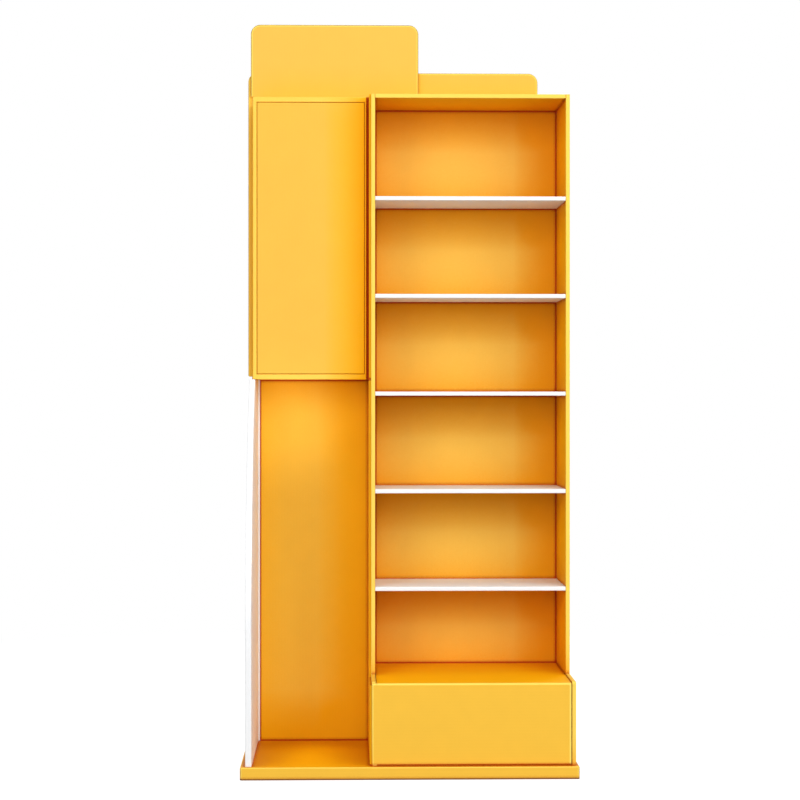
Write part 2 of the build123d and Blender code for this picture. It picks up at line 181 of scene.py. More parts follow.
class BoardProperties(bpy.types.PropertyGroup):
    """Sizes and colours of the corrugated board, with the colours of its painted shade and painted
    highlights.
    """

    flute_pitch: FloatProperty(
        name="Flute pitch",
        description="Distance from one flute of the corrugated board to the next",
        default=7.6 * MILLIMETRE,
        min=MILLIMETRE,
        unit="LENGTH",
    )
    fibre: FloatProperty(
        name="Fibre clump",
        description="Size of the paper's fibre clumps",
        default=1.5 * MILLIMETRE,
        min=0.1 * MILLIMETRE,
        unit="LENGTH",
    )
    mottle: FloatProperty(
        name="Print mottle",
        description="Size of the soft patches where the ink lies thicker or thinner",
        default=45 * MILLIMETRE,
        min=MILLIMETRE,
        unit="LENGTH",
    )
    # The dark line of a seam is painted shade
    seam_width: FloatProperty(
        name="Seam width",
        description="How far the dark line of a seam or a closed corner reaches",
        default=10 * MILLIMETRE,
        min=MILLIMETRE,
        unit="LENGTH",
    )
    # The pale rim is a painted highlight along the edge of a card
    rim_width: FloatProperty(
        name="Rim width",
        description="Width of the pale line along the edges of the header cards and the storage box",
        default=3.5 * MILLIMETRE,
        min=MILLIMETRE,
        unit="LENGTH",
    )
    # The deeper colour is painted shade
    nook_width: FloatProperty(
        name="Nook width",
        description="How far the deeper colour reaches from the corners of a compartment",
        default=110 * MILLIMETRE,
        min=MILLIMETRE,
        unit="LENGTH",
    )
    strip_width: FloatProperty(
        name="Corner strip width",
        description="Width of the white corner strip on the bay's back",
        default=4.5 * MILLIMETRE,
        min=MILLIMETRE,
        unit="LENGTH",
    )
    strip_depth: FloatProperty(
        name="Corner strip depth",
        description="Width of the white corner strip on the side panel",
        default=12 * MILLIMETRE,
        min=MILLIMETRE,
        unit="LENGTH",
    )
    strip_thickness: FloatProperty(
        name="Corner strip thickness",
        description="Thickness of the white corner strip's card",
        default=0.8 * MILLIMETRE,
        min=0.1 * MILLIMETRE,
        unit="LENGTH",
    )
    printed_yellow: FloatVectorProperty(
        name="Printed yellow",
        description="Ink colour of the printed board",
        subtype="COLOR",
        size=4,
        min=0,
        max=1,
        default=linear("F4BF40"),
    )
    warm_yellow: FloatVectorProperty(
        name="Warm yellow",
        description="Ink colour of the sign box, the header cards and the tower's back, a little warmer",
        subtype="COLOR",
        size=4,
        min=0,
        max=1,
        default=linear("F4BC4F"),
    )
    # Partly the lighter ink over a fold, partly a painted highlight on folded edges and rims, and painted
    # light where a whole back is made paler
    crease_and_highlight_yellow: FloatVectorProperty(
        name="Crease yellow",
        description="Colour of the ink where it is stretched over a fold",
        subtype="COLOR",
        size=4,
        min=0,
        max=1,
        default=linear("FDDC62"),
    )
    # Painted shade on faces that look into a compartment, and in the nooks of the sign box and the header
    # cards
    deep_shade_amber: FloatVectorProperty(
        name="Deep amber",
        description="Colour of the ink on faces that look into a compartment",
        subtype="COLOR",
        size=4,
        min=0,
        max=1,
        default=linear("FDB400"),
    )
    # Painted shade where board faces board across a compartment
    nook_shade_amber: FloatVectorProperty(
        name="Nook amber",
        description="Colour of the ink where board faces board across a compartment",
        subtype="COLOR",
        size=4,
        min=0,
        max=1,
        default=linear("E99A04"),
    )
    # Painted shade on the base's top, deep in the left bay
    floor_shade_amber: FloatVectorProperty(
        name="Floor amber",
        description="Colour of the ink on the base's top, deep in the left bay",
        subtype="COLOR",
        size=4,
        min=0,
        max=1,
        default=linear("CF8002"),
    )
    shaded_amber: FloatVectorProperty(
        name="Shaded amber",
        description="Colour of the ink on the bay's back, in the soft shade of the tower",
        subtype="COLOR",
        size=4,
        min=0,
        max=1,
        default=linear("F2AE02"),
    )
    # Painted shade: the red-brown shade deep in the gap beside the sign box, put on the spacer there
    gap_shade_red: FloatVectorProperty(
        name="Gap red",
        description="Colour of the strip deep in the gap beside the sign box",
        subtype="COLOR",
        size=4,
        min=0,
        max=1,
        default=linear("FF5A00"),
    )
    # Painted shade deep in seams and corners, and along the joint lines
    seam_shade_red: FloatVectorProperty(
        name="Seam red",
        description="Colour of the ink deep in a seam",
        subtype="COLOR",
        size=4,
        min=0,
        max=1,
        default=linear("B03000"),
    )
    white_liner: FloatVectorProperty(
        name="White liner",
        description="Colour of the coated white board",
        subtype="COLOR",
        size=4,
        min=0,
        max=1,
        default=linear("F2F3F4"),
    )
    # Painted shade, warm from the yellow around it, on the white board deep in a corner
    white_seam_shade: FloatVectorProperty(
        name="White seam",
        description="Colour of the white board deep in a corner",
        subtype="COLOR",
        size=4,
        min=0,
        max=1,
        default=linear("C29A74"),
    )
    kraft_liner: FloatVectorProperty(
        name="Kraft liner",
        description="Colour of the bare brown side of the board",
        subtype="COLOR",
        size=4,
        min=0,
        max=1,
        default=linear("C39A6B"),
    )
    # Painted shade in the hollows between the flutes of a cut edge and along the base's foot on the floor,
    # and also the colour of worn rims
    shade_and_wear_brown: FloatVectorProperty(
        name="Flute shadow",
        description="Colour between the flutes of a cut edge",
        subtype="COLOR",
        size=4,
        min=0,
        max=1,
        default=linear("6B4A2C"),
    )


class StageProperties(bpy.types.PropertyGroup):
    """Camera, lamps and floor of the studio."""

    camera_place: FloatVectorProperty(
        name="Camera place",
        description="Where the camera stands",
        subtype="TRANSLATION",
        unit="LENGTH",
        default=(-0.146, -5.2, 0.907),
    )
    camera_yaw: FloatProperty(
        name="Camera turn",
        description="How far the camera is turned to its right",
        subtype="ANGLE",
        default=math.radians(1.4),
    )
    camera_pitch: FloatProperty(
        name="Camera tilt",
        description="How far the camera is tilted down",
        subtype="ANGLE",
        default=math.radians(0.16),
    )
    camera_lens: FloatProperty(
        name="Focal length",
        description="Focal length in millimetres on a sensor 36 mm wide",
        default=95.8,
        min=1,
    )
    key_power: FloatProperty(
        name="Key lamp power",
        description="Power of the large soft lamp, high in front",
        subtype="POWER",
        default=71,
        min=0,
    )
    key_place: FloatVectorProperty(
        name="Key lamp place",
        description="Where the large soft lamp hangs",
        subtype="TRANSLATION",
        unit="LENGTH",
        default=(1.3, -4.2, 2.9),
    )
    key_width: FloatProperty(
        name="Key lamp width",
        description="Width of the large soft lamp",
        default=3.0,
        min=0.1,
        unit="LENGTH",
    )
    right_power: FloatProperty(
        name="Right lamp power",
        description="Power of the soft lamp on the right",
        subtype="POWER",
        default=66,
        min=0,
    )
    left_power: FloatProperty(
        name="Left lamp power",
        description="Power of the soft lamp on the left",
        subtype="POWER",
        default=74,
        min=0,
    )
    right_place: FloatVectorProperty(
        name="Right lamp place",
        description="Where the soft lamp on the right stands",
        subtype="TRANSLATION",
        unit="LENGTH",
        default=(3.5, -3.5, 2.2),
    )
    left_place: FloatVectorProperty(
        name="Left lamp place",
        description="Where the soft lamp on the left stands",
        subtype="TRANSLATION",
        unit="LENGTH",
        default=(-2.6, -4.3, 2.2),
    )
    side_width: FloatProperty(
        name="Side lamp width",
        description="Width of the side lamps",
        default=2.0,
        min=0.1,
        unit="LENGTH",
    )
    top_power: FloatProperty(
        name="Top lamp power",
        description="Power of the soft lamp overhead",
        subtype="POWER",
        default=28,
        min=0,
    )
    top_place: FloatVectorProperty(
        name="Top lamp place",
        description="Where the soft lamp overhead hangs",
        subtype="TRANSLATION",
        unit="LENGTH",
        default=(0.0, -0.9, 4.4),
    )
    top_width: FloatProperty(
        name="Top lamp width",
        description="Width of the soft lamp overhead",
        default=2.0,
        min=0.1,
        unit="LENGTH",
    )
    front_power: FloatProperty(
        name="Front lamp power",
        description="Power of the soft lamp close to the camera",
        subtype="POWER",
        default=23,
        min=0,
    )
    front_place: FloatVectorProperty(
        name="Front lamp place",
        description="Where the soft lamp close to the camera stands",
        subtype="TRANSLATION",
        unit="LENGTH",
        default=(0.0, -5.2, 1.1),
    )
    front_width: FloatProperty(
        name="Front lamp width",
        description="Width of the soft lamp close to the camera",
        default=1.0,
        min=0.1,
        unit="LENGTH",
    )
    rear_power: FloatProperty(
        name="Rear lamp power",
        description="Power of each of the two soft lamps behind the rack",
        subtype="POWER",
        default=75,
        min=0,
    )
    rear_place: FloatVectorProperty(
        name="Rear lamp place",
        description="Where the right one of the lamps behind the rack stands, the left one mirrors it",
        subtype="TRANSLATION",
        unit="LENGTH",
        default=(3.0, 3.6, 1.9),
    )
    rear_width: FloatProperty(
        name="Rear lamp width",
        description="Width of each soft lamp behind the rack",
        default=2.0,
        min=0.1,
        unit="LENGTH",
    )
    bay_power: FloatProperty(
        name="Bay lamp power",
        description="Power of the small gridded lamp that reaches under the sign box",
        subtype="POWER",
        default=0.072,
        min=0,
    )
    bay_place: FloatVectorProperty(
        name="Bay lamp place",
        description="Where the small gridded lamp stands",
        subtype="TRANSLATION",
        unit="LENGTH",
        default=(-0.35, -0.7, 0.05),
    )
    bay_width: FloatProperty(
        name="Bay lamp width",
        description="Width of the small gridded lamp",
        default=0.1,
        min=0.05,
        unit="LENGTH",
    )
    bay_spread: FloatProperty(
        name="Bay lamp spread",
        description="How wide the grid lets the small lamp's light spread",
        subtype="ANGLE",
        default=math.radians(19),
    )
    room_light: FloatProperty(
        name="Room light",
        description="Strength of the even light from all sides",
        default=0.4,
        min=0,
    )
    floor_colour: FloatVectorProperty(
        name="Floor colour",
        description="Colour of the studio floor",
        subtype="COLOR",
        size=4,
        min=0,
        max=1,
        default=linear("A0A0A0"),
    )


def add(tree, kind, inputs=None, output=0, **settings):
    """Add a shader node with its settings, give its inputs values or links, and return an output."""
    node = tree.nodes.new(kind)
    for name, value in settings.items():
        setattr(node, name, value)
    for key, value in (inputs or {}).items():
        if isinstance(value, bpy.types.NodeSocket):
            tree.links.new(value, node.inputs[key])
        else:
            node.inputs[key].default_value = value
    return node.outputs[output] if node.outputs else None


def new_material(name):
    """An empty node material and its tree."""
    material = bpy.data.materials.new(name)
    material.use_nodes = True
    material.node_tree.nodes.clear()
    return material, material.node_tree


def new_object(name, data):
    """An object of the scene that holds the data."""
    made = bpy.data.objects.new(name, data)
    bpy.context.scene.collection.objects.link(made)
    return made


def paper_surface(tree, flutes_along):
    """Where a point of the board lies, which way it looks, and the patterns of its paper and flutes."""
    board = bpy.context.scene.rack_board
    coordinates = add(tree, "ShaderNodeTexCoord").node.outputs
    point = coordinates["Object"]
    place = add(tree, "ShaderNodeSeparateXYZ", {0: point}).node.outputs
    looks = add(tree, "ShaderNodeSeparateXYZ", {0: coordinates["Normal"]}).node.outputs
    fibre_noise = {"Vector": point, "Scale": 1 / board.fibre, "Detail": FIBRE_DETAIL}
    fibres = add(tree, "ShaderNodeTexNoise", fibre_noise)
    mottle_noise = {"Vector": point, "Scale": 1 / board.mottle, "Detail": MOTTLE_DETAIL}
    mottle = add(tree, "ShaderNodeTexNoise", mottle_noise)

    # The way that a face looks tells along which axis the flutes follow each other on it
    seen_axis, then_axis, else_axis = FLUTE_STEPS[flutes_along]
    facing = add(tree, "ShaderNodeMath", {0: looks[seen_axis]}, operation="ABSOLUTE")
    seen = add(tree, "ShaderNodeMath", {0: facing, 1: FLUTE_FACING}, operation="GREATER_THAN")
    either_place = {0: seen, 2: place[else_axis], 3: place[then_axis]}
    across_flutes = add(tree, "ShaderNodeMix", either_place, data_type="FLOAT")
    turns = {0: across_flutes, 1: 2 * math.pi / board.flute_pitch}
    phase = add(tree, "ShaderNodeMath", turns, operation="MULTIPLY")
    washboard = add(tree, "ShaderNodeMath", {0: phase}, operation="SINE")
    return SimpleNamespace(
        point=point, place=place, looks=looks, fibres=fibres, mottle=mottle, washboard=washboard
    )


def faces_mask(tree, surface, faces):
    """1 on the faces given, each as an axis, the side that it looks to and a plane that it lies beyond."""
    mask = 0.0
    for axis, side, plane in faces:
        outward = add(tree, "ShaderNodeMath", {0: surface.looks[axis], 1: side}, operation="MULTIPLY")
        looks_there = add(tree, "ShaderNodeMath", {0: outward, 1: SQUARE_ON}, operation="GREATER_THAN")
        reach = add(tree, "ShaderNodeMath", {0: surface.place[axis], 1: side}, operation="MULTIPLY")
        lies_there = add(tree, "ShaderNodeMath", {0: reach, 1: side * plane}, operation="GREATER_THAN")
        face = add(tree, "ShaderNodeMath", {0: looks_there, 1: lies_there}, operation="MULTIPLY")
        mask = add(tree, "ShaderNodeMath", {0: face, 1: mask}, operation="MAXIMUM")
    return mask


def fold_and_highlight_mask(tree, surface, folded_faces):
    """How pale the ink is on folded edges, and where a fold turns the sheet away from every axis, partly as
    a painted highlight.
    """
    squareness = 0.0
    for axis in "XYZ":
        along = add(tree, "ShaderNodeMath", {0: surface.looks[axis]}, operation="ABSOLUTE")
        squareness = add(tree, "ShaderNodeMath", {0: along, 1: squareness}, operation="MAXIMUM")
    ramp = {"Value": squareness, "From Min": FOLD_START, "From Max": FOLD_FULL, "To Max": FOLD_PALENESS}
    rounding = add(tree, "ShaderNodeMapRange", ramp)
    edges = faces_mask(tree, surface, folded_faces)
    pale_edges = add(tree, "ShaderNodeMath", {0: edges, 1: EDGE_PALENESS}, operation="MULTIPLY")
    return add(tree, "ShaderNodeMath", {0: rounding, 1: pale_edges}, operation="MAXIMUM")


def joint_mask(tree, surface, joints):
    """1 along the thin lines of painted shade where sheets meet, each an axis, a place on it and a half
    width.
    """
    mask = 0.0
    for axis, place, half_width in joints:
        band = {0: surface.place[axis], 1: place, 2: half_width}
        line = add(tree, "ShaderNodeMath", band, operation="COMPARE")
        mask = add(tree, "ShaderNodeMath", {0: mask, 1: line}, operation="MAXIMUM")
    return mask


def rim_masks(tree, surface, low, high, corner):
    """Where a painted highlight makes the ink paler along the rim of a front face with rounded corners, and
    where it is worn at its edge.
    """
    rim_width = bpy.context.scene.rack_board.rim_width
    worn_width = rim_width * WORN_SHARE
    middle = (low + high) / 2
    core = (high - low) / 2 - Vector((corner, 0, corner))
    from_middle = add(tree, "ShaderNodeVectorMath", {0: surface.point, 1: middle}, operation="SUBTRACT")
    from_middle = add(tree, "ShaderNodeVectorMath", {0: from_middle}, operation="ABSOLUTE")
    past_core = add(tree, "ShaderNodeVectorMath", {0: from_middle, 1: core}, operation="SUBTRACT")
    past_core = add(tree, "ShaderNodeVectorMath", {0: past_core, 1: (0, 0, 0)}, operation="MAXIMUM")
    past_core = add(tree, "ShaderNodeVectorMath", {0: past_core, 1: (1, 0, 1)}, operation="MULTIPLY")
    distance = add(tree, "ShaderNodeVectorMath", {0: past_core}, "Value", operation="LENGTH")
    front = faces_mask(tree, surface, [("Y", -1, high.y)])
    masks = []
    for start in (corner - rim_width, corner - worn_width):
        ramp = {"Value": distance, "From Min": start - worn_width, "From Max": start}
        rim = add(tree, "ShaderNodeMapRange", ramp)
        masks.append(add(tree, "ShaderNodeMath", {0: rim, 1: front}, operation="MULTIPLY"))
    return masks


def enclosed_mask(tree, reach, shares, strength, toward=(0, 0, 0)):
    """How far board shuts a point in within a reach, most of all toward one side, from 0 in the open: the
    mask of painted shade, and a lean toward one side paints the shade of a lamp there.
    """
    open_share, closed_share = shares
    normal = add(tree, "ShaderNodeNewGeometry", output="Normal")
    leaning = add(tree, "ShaderNodeVectorMath", {0: normal, 1: toward})
    leaning = add(tree, "ShaderNodeVectorMath", {0: leaning}, operation="NORMALIZE")
    around = {"Distance": reach, "Normal": leaning}
    openness = add(tree, "ShaderNodeAmbientOcclusion", around, "AO", samples=AO_SAMPLES)
    ramp = {"Value": openness, "From Min": open_share, "From Max": closed_share, "To Max": strength}
    corner = add(tree, "ShaderNodeMapRange", ramp)
    if any(toward):
        return corner

    # Deep in a narrow gap, unlike in a corner, the painted shade is taken back, and the plain ink stands in
    # for the light that bounces from wall to wall
    gap_share, corner_share = GAP_SHARES
    gap_ramp = {"Value": openness, "From Min": gap_share, "From Max": corner_share}
    not_gap = add(tree, "ShaderNodeMapRange", gap_ramp)
    return add(tree, "ShaderNodeMath", {0: corner, 1: not_gap}, operation="MULTIPLY")


def paper_density(tree, surface, plain, fibres, flutes):
    """How dense the paper's colour lies, changed from its plain value by fibres and flutes."""
    with_fibres = {0: surface.fibres, 1: fibres, 2: plain}
    density = add(tree, "ShaderNodeMath", with_fibres, operation="MULTIPLY_ADD")
    with_flutes = {0: surface.washboard, 1: flutes, 2: density}
    return add(tree, "ShaderNodeMath", with_flutes, operation="MULTIPLY_ADD")


def kraft_colour(tree, surface):
    """Brown, unbleached fibres, a little darker between the flutes."""
    liner = bpy.context.scene.rack_board.kraft_liner[:3]
    density = paper_density(tree, surface, KRAFT_DENSITY, KRAFT_FIBRES, KRAFT_FLUTES)
    return add(tree, "ShaderNodeVectorMath", {0: liner, "Scale": density}, operation="SCALE")


def flute_ends_colour(tree, surface, kraft, across_axis, across_start):
    """A raw cut edge: the flutes' wave between two liners, with painted shade in the hollows."""
    hollow_shade = bpy.context.scene.rack_board.shade_and_wear_brown
    from_start = {0: surface.place[across_axis], 1: across_start}
    depth = add(tree, "ShaderNodeMath", from_start, operation="SUBTRACT")
    in_sheet = add(tree, "ShaderNodeMath", {0: depth, 1: BOARD + FOLD_AIR}, operation="FLOORED_MODULO")
    centred = {0: in_sheet, 1: 1 / BOARD, 2: -0.5}
    from_middle = add(tree, "ShaderNodeMath", centred, operation="MULTIPLY_ADD")
    wave = add(tree, "ShaderNodeMath", {0: surface.washboard, 1: WAVE_SHARE}, operation="MULTIPLY")
    off_wave = add(tree, "ShaderNodeMath", {0: from_middle, 1: wave}, operation="SUBTRACT")
    off_wave = add(tree, "ShaderNodeMath", {0: off_wave}, operation="ABSOLUTE")
    in_wave = add(tree, "ShaderNodeMath", {0: off_wave, 1: WAVE_LINE_SHARE}, operation="LESS_THAN")
    off_middle = add(tree, "ShaderNodeMath", {0: from_middle}, operation="ABSOLUTE")
    in_liner = add(tree, "ShaderNodeMath", {0: off_middle, 1: LINER_SHARE}, operation="GREATER_THAN")
    paper = add(tree, "ShaderNodeMath", {0: in_wave, 1: in_liner}, operation="MAXIMUM")
    return add(tree, "ShaderNodeMix", {0: paper, 6: hollow_shade, 7: kraft}, **COLOUR_MIX)


def finish_board(tree, surface, colour, roughness):
    """Give the board its paper grain, the trace of its flutes and its shader."""
    flutes = add(tree, "ShaderNodeMath", {0: surface.washboard, 1: FLUTE_RELIEF}, operation="MULTIPLY")
    with_fibres = {0: surface.fibres, 1: FIBRE_RELIEF, 2: flutes}
    relief = add(tree, "ShaderNodeMath", with_fibres, operation="MULTIPLY_ADD")
    bump = {"Height": relief, "Strength": RELIEF_STRENGTH, "Distance": RELIEF_HEIGHT}
    grain = add(tree, "ShaderNodeBump", bump)
    finish = {
        "Base Color": colour,
        "Roughness": roughness,
        "Normal": grain,
        "IOR": PAPER_IOR,
        "Specular IOR Level": PAPER_GLOSS,
    }
    shader = add(tree, "ShaderNodeBsdfPrincipled", finish)
    add(tree, "ShaderNodeOutputMaterial", {"Surface": shader})


def printed_board(
    name,
    flutes_along="Z",
    ink_colour=None,
    nook_colour=None,
    nook_width=None,
    nook_strength=1.0,
    nook_side=(0, 0, 0),
    seam_strength=1.0,
    paleness=0.0,
    rim=None,
    wear=0.0,
    folded=(),
    deep=(),
    open_faces=(),
    seam_free=(),
    joints=(),
    joint_shade_colour=None,
    bare=(),
    cut=(),
    cut_across="Y",
    cut_start=0.0,
):
    """Corrugated board with a litho-printed liner, laminated on and varnished semi-matt.

    The eye gets an even yellow with soft patches, a trace of the flutes, paler ink over the folds and along
    the rim of a card, partly a painted highlight, and painted shade wherever board faces board: soft in
    nooks, dark in seams and along joints. The folded, deep, open, seam-free, bare and cut faces are given as
    for faces_mask, the joints as for joint_mask, and the rim as for rim_masks.
    """
    board = bpy.context.scene.rack_board
    material, tree = new_material(name)
    surface = paper_surface(tree, flutes_along)

    # Ink density: soft patches, fibres and a trace of the flutes beneath
    patches = {0: surface.mottle, 1: INK_MOTTLE, 2: INK_DENSITY}
    mottled = add(tree, "ShaderNodeMath", patches, operation="MULTIPLY_ADD")
    density = paper_density(tree, surface, mottled, INK_FIBRES, INK_FLUTES)

    # Plain ink, with painted shade on the faces that look into a compartment, and paler over folds and along
    # a rim, partly as a painted highlight; paleness lightens the whole face as painted light
    plain_ink = ink_colour or board.printed_yellow
    inward_shade = faces_mask(tree, surface, deep)
    ink = add(tree, "ShaderNodeMix", {0: inward_shade, 6: plain_ink, 7: board.deep_shade_amber}, **COLOUR_MIX)
    pale = fold_and_highlight_mask(tree, surface, folded)
    pale = add(tree, "ShaderNodeMath", {0: pale, 1: paleness}, operation="MAXIMUM")
    worn = 0.0
    if rim:
        pale_rim, worn_rim = rim_masks(tree, surface, *rim)
        pale = add(tree, "ShaderNodeMath", {0: pale, 1: pale_rim}, operation="MAXIMUM")
        worn = add(tree, "ShaderNodeMath", {0: worn_rim, 1: wear}, operation="MULTIPLY")
    ink = add(tree, "ShaderNodeMix", {0: pale, 6: ink, 7: board.crease_and_highlight_yellow}, **COLOUR_MIX)

    # Painted shade in nooks, which open faces are kept out of, and worn rims
    nook_shade = nook_colour or board.nook_shade_amber
    nook = enclosed_mask(tree, nook_width or board.nook_width, NOOK_SHARES, nook_strength, nook_side)
    exposed = faces_mask(tree, surface, open_faces)
    enclosed = add(tree, "ShaderNodeMath", {0: 1.0, 1: exposed}, operation="SUBTRACT")
    nook = add(tree, "ShaderNodeMath", {0: nook, 1: enclosed}, operation="MULTIPLY")
    ink = add(tree, "ShaderNodeMix", {0: nook, 6: ink, 7: nook_shade}, **COLOUR_MIX)
    ink = add(tree, "ShaderNodeMix", {0: worn, 6: ink, 7: board.shade_and_wear_brown}, **COLOUR_MIX)
    colour = add(tree, "ShaderNodeVectorMath", {0: ink, "Scale": density}, operation="SCALE")

    # Painted shade in seams and along joints
    seam = enclosed_mask(tree, board.seam_width, SEAM_SHARES, seam_strength)
    seamless = faces_mask(tree, surface, seam_free)
    seam = add(tree, "ShaderNodeMath", {0: seam, 1: seamless}, operation="SUBTRACT", use_clamp=True)
    colour = add(tree, "ShaderNodeMix", {0: seam, 6: colour, 7: board.seam_shade_red}, **COLOUR_MIX)
    joint_shade = joint_shade_colour or board.seam_shade_red
    joint = joint_mask(tree, surface, joints)
    joint = add(tree, "ShaderNodeMath", {0: joint, 1: JOINT_DEPTH}, operation="MULTIPLY")
    colour = add(tree, "ShaderNodeMix", {0: joint, 6: colour, 7: joint_shade}, **COLOUR_MIX)

    # The reverse and the cut edges are bare kraft
    kraft = kraft_colour(tree, surface)
    reverse = faces_mask(tree, surface, bare)
    colour = add(tree, "ShaderNodeMix", {0: reverse, 6: colour, 7: kraft}, **COLOUR_MIX)
    flute_ends = flute_ends_colour(tree, surface, kraft, cut_across, cut_start)
    raw = faces_mask(tree, surface, cut)
    colour = add(tree, "ShaderNodeMix", {0: raw, 6: colour, 7: flute_ends}, **COLOUR_MIX)
    unprinted = add(tree, "ShaderNodeMath", {0: reverse, 1: raw}, operation="MAXIMUM")
    varnish = {0: surface.fibres, 1: FIBRE_ROUGHNESS, 2: INK_ROUGHNESS}
    roughness = add(tree, "ShaderNodeMath", varnish, operation="MULTIPLY_ADD")
    unvarnished = {0: unprinted, 1: KRAFT_ROUGHNESS - INK_ROUGHNESS, 2: roughness}
    roughness = add(tree, "ShaderNodeMath", unvarnished, operation="MULTIPLY_ADD")
    finish_board(tree, surface, colour, roughness)
    return material


def white_coated_board(name, flutes_along="X", seam_strength=0.6):
    """Corrugated board with a clay-coated white liner, smooth and unprinted.

    The eye gets a clean matt white with the faintest fibres, and a painted warm shade in its corners, as if
    warmed by the yellow around it.
    """
    board = bpy.context.scene.rack_board
    material, tree = new_material(name)
    surface = paper_surface(tree, flutes_along)
    density = paper_density(tree, surface, WHITE_DENSITY, WHITE_FIBRES, WHITE_FLUTES)
    coating = {0: board.white_liner[:3], "Scale": density}
    liner = add(tree, "ShaderNodeVectorMath", coating, operation="SCALE")
    seam = enclosed_mask(tree, board.seam_width, WHITE_SEAM_SHARES, seam_strength)
    colour = add(tree, "ShaderNodeMix", {0: seam, 6: liner, 7: board.white_seam_shade}, **COLOUR_MIX)
    matt = {0: surface.fibres, 1: WHITE_FIBRE_ROUGHNESS, 2: WHITE_ROUGHNESS}
    roughness = add(tree, "ShaderNodeMath", matt, operation="MULTIPLY_ADD")
    finish_board(tree, surface, colour, roughness)
    return material


def kraft_board(name, flutes_along="Z"):
    """Bare kraft corrugated board, as it comes from the mill.

    The eye gets brown, matt paper with visible fibres and soft stripes over the flutes.
    """
    material, tree = new_material(name)
    surface = paper_surface(tree, flutes_along)
    matt = {0: surface.fibres, 1: FIBRE_ROUGHNESS, 2: KRAFT_ROUGHNESS}
    roughness = add(tree, "ShaderNodeMath", matt, operation="MULTIPLY_ADD")
    finish_board(tree, surface, kraft_colour(tree, surface), roughness)
    return material


def dress(material, *nodes):
    """Give CAD nodes one material."""
    for name in nodes:
        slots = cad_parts[name].data.materials
        slots.clear()
        slots.append(material)


class DressBase(bpy.types.Operator):
    """Printed base tray on kraft ribs"""

    bl_idname = "rack.dress_base"
    bl_label = "Base tray"

    def execute(self, context):
        board = context.scene.rack_board
        # Painted shade: the deep amber on the tray's top, the floor amber deep in the bay, and a dark brown
        # line along the foot, where the tray meets the floor
        tray = printed_board(
            "base_printed_board",
            flutes_along="X",
            nook_colour=board.floor_shade_amber,
            nook_width=160 * MILLIMETRE,
            nook_strength=1.5,
            deep=[("Z", 1, BASE_TOP - SKIN)],
            open_faces=[FRONT_FOLD],
            joints=[("Z", BASE_LOW.z, JOINT_LINE)],
            joint_shade_colour=board.shade_and_wear_brown,
            bare=[("Z", -1, BASE_TOP)],
        )
        dress(tray, "base_tray")
        dress(kraft_board("rib_kraft_board"), *RIBS)
        return {"FINISHED"}


class DressTower(bpy.types.Operator):
    """Printed walls, back and top of the shelf tower, with the storage box"""

    bl_idname = "rack.dress_tower"
    bl_label = "Tower and storage box"

    def execute(self, context):
        # Side walls, with painted shade on the face that looks into the tower, and a painted highlight on
        # their folded front edges
        for node, inward in (("tower_left_side", 1), ("tower_right_side", -1)):
            wall_start, wall_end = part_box(node)
            wall = printed_board(
                f"{node}_printed_board",
                folded=[FRONT_FOLD],
                deep=[("X", inward, wall_start.x / 2 + wall_end.x / 2)],
                cut=[("Z", 1, TOWER_TOP - SKIN), ("Y", 1, WALL_HIGH.y - SKIN)],
                cut_across="X",
                cut_start=wall_start.x,
            )
            dress(wall, node)

        # Back, with a line of painted shade along each wall, the deck, the top and every shelf
        undersides = [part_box(name)[0].z for name in ("tower_top", *SHELVES)]
        # Painted shade in the back's nooks, leaning toward the upper right where the key lamp hangs; its
        # paleness makes the whole back lighter as painted light
        toward_upper_right = (0.8, 0, 0.55)
        back = printed_board(
            "tower_back_printed_board",
            ink_colour=context.scene.rack_board.warm_yellow,
            nook_strength=1.25,
            nook_side=toward_upper_right,
            paleness=0.42,
            joints=[
                ("X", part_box("tower_left_side")[1].x, HIDDEN_JOINT_LINE),
                ("X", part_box("tower_right_side")[0].x, JOINT_LINE),
                ("Z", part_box("storage_cover")[1].z, JOINT_LINE),
                *(("Z", height, JOINT_LINE) for height in undersides),
            ],
            bare=[("Y", 1, SHEET_HIGH.y - SKIN)],
            cut=[("Z", 1, TOWER_TOP - SKIN)],
            cut_start=SHEET_LOW.y,
        )
        dress(back, "tower_back")

        # Top and storage box
        ceiling = [("Z", -1, TOWER_TOP)]
        # Painted shade on the top's underside and a painted highlight on its folded front edge; the storage
        # box gets a painted highlight along its rim and painted shade on its top
        top = printed_board("tower_top_printed_board", flutes_along="X", folded=[FRONT_FOLD], deep=ceiling)
        dress(top, "tower_top")
        storage_low, storage_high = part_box("storage_cover")
        cover = printed_board(
            "storage_printed_board",
            flutes_along="X",
            rim=(storage_low, storage_high, STORAGE_CORNER),
            deep=[("Z", 1, storage_high.z - SKIN)],
            open_faces=[("Y", -1, storage_low.y + SKIN)],
        )
        dress(cover, "storage_cover")
        return {"FINISHED"}


class DressShelves(bpy.types.Operator):
    """White shelves"""

    bl_idname = "rack.dress_shelves"
    bl_label = "Shelves"

    def execute(self, context):
        dress(white_coated_board("shelf_white_board"), *SHELVES)
        return {"FINISHED"}


